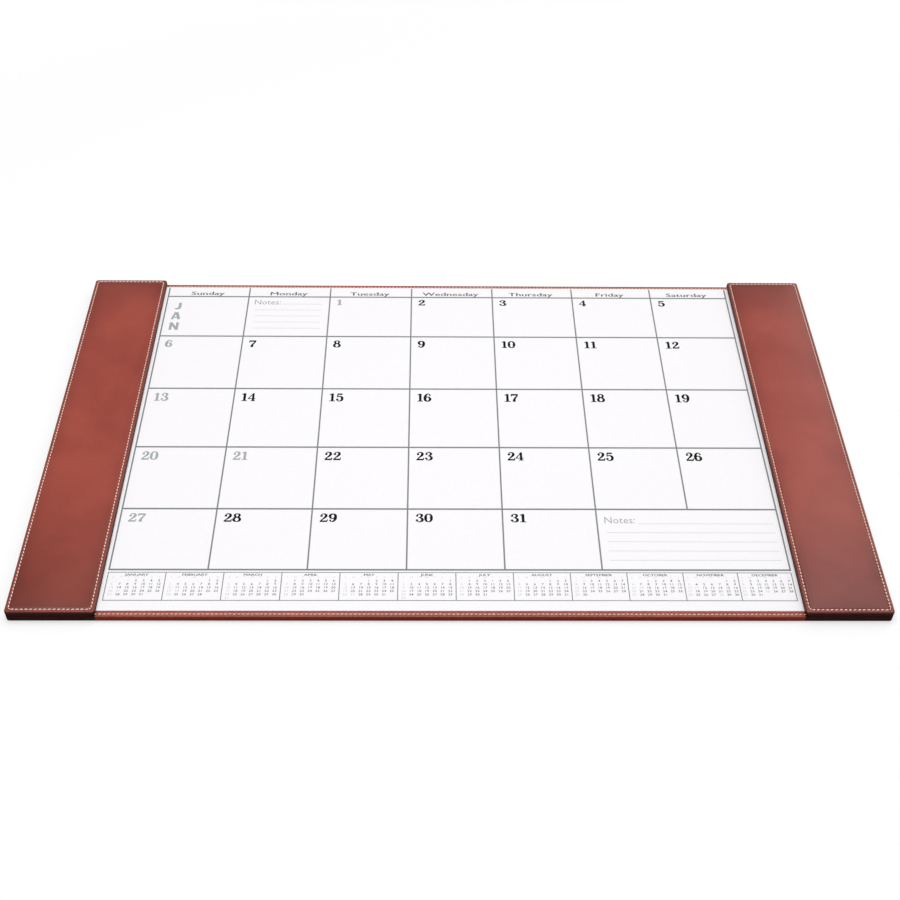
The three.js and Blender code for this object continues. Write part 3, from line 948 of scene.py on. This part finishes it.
def thickened(bm, name):
    # a flat outline becomes a film from -sink to its thickness, in real millimetres upwards
    for vert in bm.verts:
        vert.co.z = -ink["sink"]
    made = bmesh.ops.extrude_face_region(bm, geom=bm.faces[:], use_keep_orig=True)["geom"]
    for vert in ofType(made, bmesh.types.BMVert):
        vert.co.z = ink["film"]
    bmesh.ops.recalc_face_normals(bm, faces=bm.faces)
    mesh = bpy.data.meshes.new(name)
    bm.to_mesh(mesh)
    bm.free()
    return mesh


figureMeshes = {name: figureMesh(name) for name in sorted(figures)}
print("figures drawn:", {name: len(mesh.polygons) for name, mesh in figureMeshes.items()})

capHeight = 0.73             # of the built-in letters, in their own size
letterCache = {}


def letterMesh(text, weight=0.0):
    # a word in the built-in letters, centred on x, its capitals 1 high from y 0
    if (text, weight) not in letterCache:
        curve = bpy.data.curves.new("lettering", "FONT")
        curve.body = text
        curve.align_x = "CENTER"
        curve.resolution_u = 2
        curve.offset = weight
        word = bpy.data.objects.new("lettering", curve)
        bpy.context.scene.collection.objects.link(word)
        graph = bpy.context.evaluated_depsgraph_get()
        bm = bmesh.new()
        bm.from_mesh(word.evaluated_get(graph).to_mesh())
        bpy.data.objects.remove(word)
        bmesh.ops.remove_doubles(bm, verts=bm.verts, dist=1e-5)
        bmesh.ops.scale(bm, vec=(1 / capHeight, 1 / capHeight, 1), verts=bm.verts)
        letterCache[(text, weight)] = thickened(bm, "lettering_" + text)
    return letterCache[(text, weight)]


calendar = {
    "columnWidths": (98.3, 98.9, 99.2, 98.6, 97.6, 96.2, 93),
    "weekDepths": (73, 90, 92.5, 89.5, 81),
    "lineWidth": 1.4,
    "headerDepth": 18,
    "firstColumn": 2,        # of the month's first day
    "days": 31,
    "greyDays": (1, 6, 13, 20, 21, 27),
    "figureHeights": (10.4, 12, 12.9, 12.4, 11.5),   # from the rear week to the front one
    "figureUnit": 0.129,     # breadth of one of the figures' units
    "insetX": 8,             # of a number in its cell
    "insetsY": (4.9, 7.3, 7.6, 7, 6.5),
}

gridLeft = boxInMm("month_grid_print")[0].x + calendar["lineWidth"] / 2
columnCount = len(calendar["columnWidths"])
columnLines = [gridLeft + sum(calendar["columnWidths"][:column]) for column in range(columnCount + 1)]
headerLine = boxInMm("calendar_sheets")[1].y - calendar["headerDepth"]
weekCount = len(calendar["weekDepths"])
rowRears = [headerLine - sum(calendar["weekDepths"][:week]) for week in range(weekCount + 1)]
thinnedCadPrint("month_grid_print", "month_grid_lines", (columnLines, rowRears))
thinnedCadPrint("year_strip_print", "year_strip_lines")
print("lines printed")


def placed(x, y, widthScale, heightScale):
    return Matrix.Translation((x, y, pageTop)) @ Matrix.Diagonal((widthScale, heightScale, 1, 1))


def dayNumbers():
    inks = {"black": bmesh.new(), "grey": bmesh.new()}
    unit = calendar["figureUnit"]
    for day in range(1, calendar["days"] + 1):
        week, column = divmod(calendar["firstColumn"] + day - 1, columnCount)
        height = calendar["figureHeights"][week]
        x = columnLines[column] + calendar["insetX"]
        y = rowRears[week] - calendar["insetsY"][week] - height
        bm = inks["grey" if day in calendar["greyDays"] else "black"]
        for digit in str(day):
            addFilm(bm, figureMeshes[digit], placed(x, y, unit, height / 100))
            x += advanceOf(digit) * unit
    addPrint("day_numbers_black", inks["black"], "black_ink")
    addPrint("day_numbers_grey", inks["grey"], "grey_ink")


dayNumbers()
print("day numbers printed")

header = {
    "names": ("Sunday", "Monday", "Tuesday", "Wednesday", "Thursday", "Friday", "Saturday"),
    "height": 6.6,
    "stretch": 1.58,
    "bold": 0.24,            # each name is laid down three times, this far apart
    "baseline": 3,           # over the header's front line
    "shift": -1.6,           # of the names, from the middle of their column
}


def addBoldWord(bm, text, middle, foot, settings):
    height = settings["height"]
    for layer in (-1, 0, 1):
        matrix = placed(middle + layer * settings["bold"], foot, height * settings["stretch"], height)
        matrix[2][2] += ink["layerStep"] * layer
        addFilm(bm, letterMesh(text), matrix)


def weekdayNames():
    bm = bmesh.new()
    for column, name in enumerate(header["names"]):
        middle = (columnLines[column] + columnLines[column + 1]) / 2 + header["shift"]
        addBoldWord(bm, name, middle, headerLine + header["baseline"], header)
    addPrint("weekday_names", bm, "weekday_ink")


tag = {
    "letters": "JAN",
    "height": 14.2,
    "pitch": 19.05,
    "x": 14,                 # middle of the letters, from the column line
    "y": 24.2,               # foot of the first letter, in front of the header's line
}


def monthTag():
    bm = bmesh.new()
    scale = tag["height"] / 100
    for k, letter in enumerate(tag["letters"]):
        x = gridLeft + tag["x"] - advanceOf(letter) * scale / 2
        y = headerLine - tag["y"] - k * tag["pitch"]
        addFilm(bm, figureMeshes[letter], placed(x, y, scale, scale))
    addPrint("month_tag", bm, "grey_ink")


notes = {
    "title": "Notes:",
    "height": 9.3,
    "stretch": 0.95,
    "titleEnd": 42,          # the first line starts behind the title
    "lineWidth": 0.7,
    "lines": 5,
    "fields": (   # place of the title, then ends, first place and pitch of the lines, in their cell
        {"column": 1, "week": 0, "x": 7.7, "y": 14.4,
         "left": 9.1, "right": 89.2, "first": 13.6, "pitch": 11.15},
        {"column": 5, "week": 4, "x": 7.6, "y": 19.2,
         "left": 9, "right": 183, "first": 19.8, "pitch": 12.15},
    ),
}


def notesFields():
    titles, lines = bmesh.new(), bmesh.new()
    for field in notes["fields"]:
        left = columnLines[field["column"]]
        rear = rowRears[field["week"]]
        mesh = letterMesh(notes["title"])
        width = notes["height"] * notes["stretch"]
        halfWidth = max(vert.co.x for vert in mesh.vertices) * width
        matrix = placed(left + field["x"] + halfWidth, rear - field["y"], width, notes["height"])
        addFilm(titles, mesh, matrix)
        for k in range(notes["lines"]):
            made = bmesh.ops.create_cube(lines, size=1)["verts"]
            start = notes["titleEnd"] if k == 0 else field["left"]
            size = (field["right"] - start, notes["lineWidth"], ink["film"] + ink["sink"])
            bmesh.ops.scale(lines, vec=size, verts=made)
            middle = (
                left + (start + field["right"]) / 2, rear - field["first"] - k * field["pitch"],
                pageTop + (ink["film"] - ink["sink"]) / 2)
            bmesh.ops.translate(lines, vec=middle, verts=made)
    addPrint("notes_titles", titles, "grey_ink")
    addPrint("notes_lines", lines, "pale_ink")


year = {
    "months": (   # name, days, column of the first, days printed pale
        ("JANUARY", 31, 2, (1, 21)), ("FEBRUARY", 28, 5, (18,)), ("MARCH", 31, 5, ()), ("APRIL", 30, 1, ()),
        ("MAY", 31, 3, (27,)), ("JUNE", 30, 6, ()), ("JULY", 31, 1, (4,)), ("AUGUST", 31, 4, ()),
        ("SEPTEMBER", 30, 0, (2,)), ("OCTOBER", 31, 2, (14,)), ("NOVEMBER", 30, 5, (11, 28)),
        ("DECEMBER", 31, 0, (25,)),
    ),
    "initials": "SMTWTFS",
    "name": {"height": 2.9, "stretch": 1.35, "bold": 0.13},
    "nameFoot": 4.8,         # in front of the strip's rear line
    "initialHeight": 2.3,
    "initialFoot": 7.6,
    "numberHeight": 2.7,
    "numberStretch": 1.2,
    "numberWeight": 0.01,
    "firstFoot": 12,
    "rowPitch": 4.3,
    "columnPitch": 7.7,
}


def acrossColumns(share):
    # place across the grid, from its share of the columns
    column = min(int(share * columnCount), columnCount - 1)
    return columnLines[column] + (share * columnCount - column) * calendar["columnWidths"][column]


def yearStrip():
    high = boxInMm("year_strip_print")[1]
    monthCount = len(year["months"])
    names, numbers, pale = bmesh.new(), bmesh.new(), bmesh.new()
    numberSize = (year["numberHeight"] * year["numberStretch"], year["numberHeight"])
    initialSize = (year["initialHeight"] * year["numberStretch"], year["initialHeight"])
    for k, (name, days, firstColumn, paleDays) in enumerate(year["months"]):
        middle = (acrossColumns(k / monthCount) + acrossColumns((k + 1) / monthCount)) / 2
        addBoldWord(names, name, middle, high.y - year["nameFoot"], year["name"])
        left = middle - (columnCount - 1) / 2 * year["columnPitch"]
        columns = [left + column * year["columnPitch"] for column in range(columnCount)]
        for x, initial in zip(columns, year["initials"]):
            addFilm(pale, letterMesh(initial), placed(x, high.y - year["initialFoot"], *initialSize))
        for day in range(1, days + 1):
            row, column = divmod(firstColumn + day - 1, columnCount)
            bm = pale if column == 0 or day in paleDays else numbers
            y = high.y - year["firstFoot"] - row * year["rowPitch"]
            mesh = letterMesh(str(day), year["numberWeight"])
            addFilm(bm, mesh, placed(columns[column], y, *numberSize))
    addPrint("year_month_names", names, "weekday_ink")
    addPrint("year_numbers", numbers, "weekday_ink")
    addPrint("year_pale_numbers", pale, "pale_ink")


weekdayNames()
monthTag()
notesFields()
yearStrip()
for mesh in [*figureMeshes.values(), *letterCache.values()]:
    bpy.data.meshes.remove(mesh)
print("lettering printed")

# CAD pieces that stay as they are
keptFinishes = {
    "felt_backing": "black_felt",
    "base_board": "grey_board",
    "calendar_card": "grey_card",
}
for place in ("left", "right"):
    keptFinishes[f"{place}_rail_lining"] = "black_felt"
    keptFinishes[f"{place}_rail_board"] = "grey_board"
    keptFinishes[f"{place}_rail_padding"] = "foam_sheet"
    for strip in ("outer", "front", "rear"):
        # dark as painted shade in the groove between rail and mat
        keptFinishes[f"{place}_rail_{strip}_spacer"] = "edge_paint_and_shade_board"
for node, finish in keptFinishes.items():
    cadNodes[node].data.materials.clear()
    cadNodes[node].data.materials.append(plain[finish])
print("CAD pieces finished:", len(keptFinishes))

# Floor, light and camera

studio = {
    "floorSize": 14,         # lengths here are metres
    "floorGap": 0.0001,      # between the mat and the floor
    "floorTone": 0.35,       # what the floor gives back to the object
    "floorSeen": 0.49,       # what the camera and a reflection see of it
    "floorGlow": 0.54,       # its own light, for the camera only
    "background": 1.0,
    "worldTone": (0.23, 0.57),    # from the left and from the right
    "lamps": (   # name, place, aim, width, depth, watts
        ("right_softbox", (0.95, 0.82, 1.65), (0.3, -0.1, 0), 0.8, 0.8, 3.6),
        ("low_softbox", (1.6, 1.6, 1.06), (0.3, 0.0, 0), 1.2, 0.8, 4),
        ("top_softbox", (-0.2, -0.12, 2.1), (-0.05, -0.1, 0), 1.4, 1.4, 27.5),
    ),
    "shadowReach": (0.6, 1.05),   # between these the floor fades to plain white for the camera
}


def seenDirectly(nodes, links):
    # 1 for what the camera, a reflection or glass sees
    path = nodes.new("ShaderNodeLightPath")
    total = path.outputs["Is Camera Ray"]
    for other in ("Is Glossy Ray", "Is Transmission Ray"):
        larger = nodes.new("ShaderNodeMath")
        larger.operation = "MAXIMUM"
        links.new(total, larger.inputs[0])
        links.new(path.outputs[other], larger.inputs[1])
        total = larger.outputs["Value"]
    return path, total


def addFloor():
    bm = bmesh.new()
    bmesh.ops.create_grid(bm, x_segments=1, y_segments=1, size=studio["floorSize"] / 2)
    bmesh.ops.translate(bm, vec=(0, 0, -studio["floorGap"]), verts=bm.verts)
    mesh = bpy.data.meshes.new("floor")
    bm.to_mesh(mesh)
    bm.free()
    floor = bpy.data.objects.new("floor", mesh)
    bpy.context.scene.collection.objects.link(floor)
    material, nodes, links, shader = newMaterial("white_floor", 0.9, 0)
    path, direct = seenDirectly(nodes, links)
    distance = nodes.new("ShaderNodeVectorMath")
    distance.operation = "LENGTH"
    links.new(objectCoordinates(nodes), distance.inputs[0])
    far = addRange(nodes, links, distance.outputs["Value"], *studio["shadowReach"], 0, 1)
    seen = addRange(nodes, links, far, 0, 1, studio["floorSeen"], 0)
    own = [studio["floorTone"]] * 3 + [1]
    links.new(addMix(nodes, links, direct, own, seen), shader.inputs["Base Color"])
    glow = addRange(nodes, links, far, 0, 1, studio["floorGlow"], studio["background"])
    shown = addMix(nodes, links, path.outputs["Is Camera Ray"], (0, 0, 0, 1), glow)
    links.new(shown, shader.inputs["Emission Color"])
    shader.inputs["Emission Strength"].default_value = 1
    mesh.materials.append(material)


def addWorld():
    world = bpy.data.worlds.new("studio")
    world.use_nodes = True
    nodes, links = world.node_tree.nodes, world.node_tree.links
    background = nodes["Background"]
    background.inputs["Color"].default_value = (1, 1, 1, 1)
    path = nodes.new("ShaderNodeLightPath")
    split = nodes.new("ShaderNodeSeparateXYZ")
    links.new(nodes.new("ShaderNodeTexCoord").outputs["Generated"], split.inputs["Vector"])
    strength = nodes.new("ShaderNodeMix")
    links.new(path.outputs["Is Camera Ray"], strength.inputs["Factor"])
    links.new(addRange(nodes, links, split.outputs["X"], -1, 1, *studio["worldTone"]), strength.inputs[2])
    strength.inputs[3].default_value = studio["background"]
    links.new(strength.outputs[0], background.inputs["Strength"])
    bpy.context.scene.world = world


def addLamp(name, place, aim, width, depth, watts):
    light = bpy.data.lights.new(name, "AREA")
    light.shape = "RECTANGLE"
    light.size = width
    light.size_y = depth
    light.energy = watts
    lamp = bpy.data.objects.new(name, light)
    lamp.location = place
    lamp.rotation_euler = (Vector(aim) - Vector(place)).to_track_quat("-Z", "Y").to_euler()
    bpy.context.scene.collection.objects.link(lamp)


addFloor()
addWorld()
for lamp in studio["lamps"]:
    addLamp(*lamp)

lens = {
    "place": (-20.84, -1033.32, 1048.09),
    "pitch": 45.996,         # degrees down
    "yaw": 1.213,            # to the right
    "roll": 1.012,
    "focal": 53.124,
    "sensor": 36,
}


def addCamera():
    data = bpy.data.cameras.new("camera")
    data.lens = lens["focal"]
    data.sensor_width = lens["sensor"]
    camera = bpy.data.objects.new("camera", data)
    camera.location = Vector(lens["place"]) * mm
    tilt = math.radians(90 - lens["pitch"])
    turn = Matrix.Rotation(math.radians(-lens["yaw"]), 4, "Z") @ Matrix.Rotation(tilt, 4, "X")
    camera.rotation_euler = (turn @ Matrix.Rotation(math.radians(lens["roll"]), 4, "Z")).to_euler()
    bpy.context.scene.collection.objects.link(camera)
    bpy.context.scene.camera = camera


addCamera()
bpy.context.scene.view_settings.view_transform = "Standard"
print("floor, light and camera made")
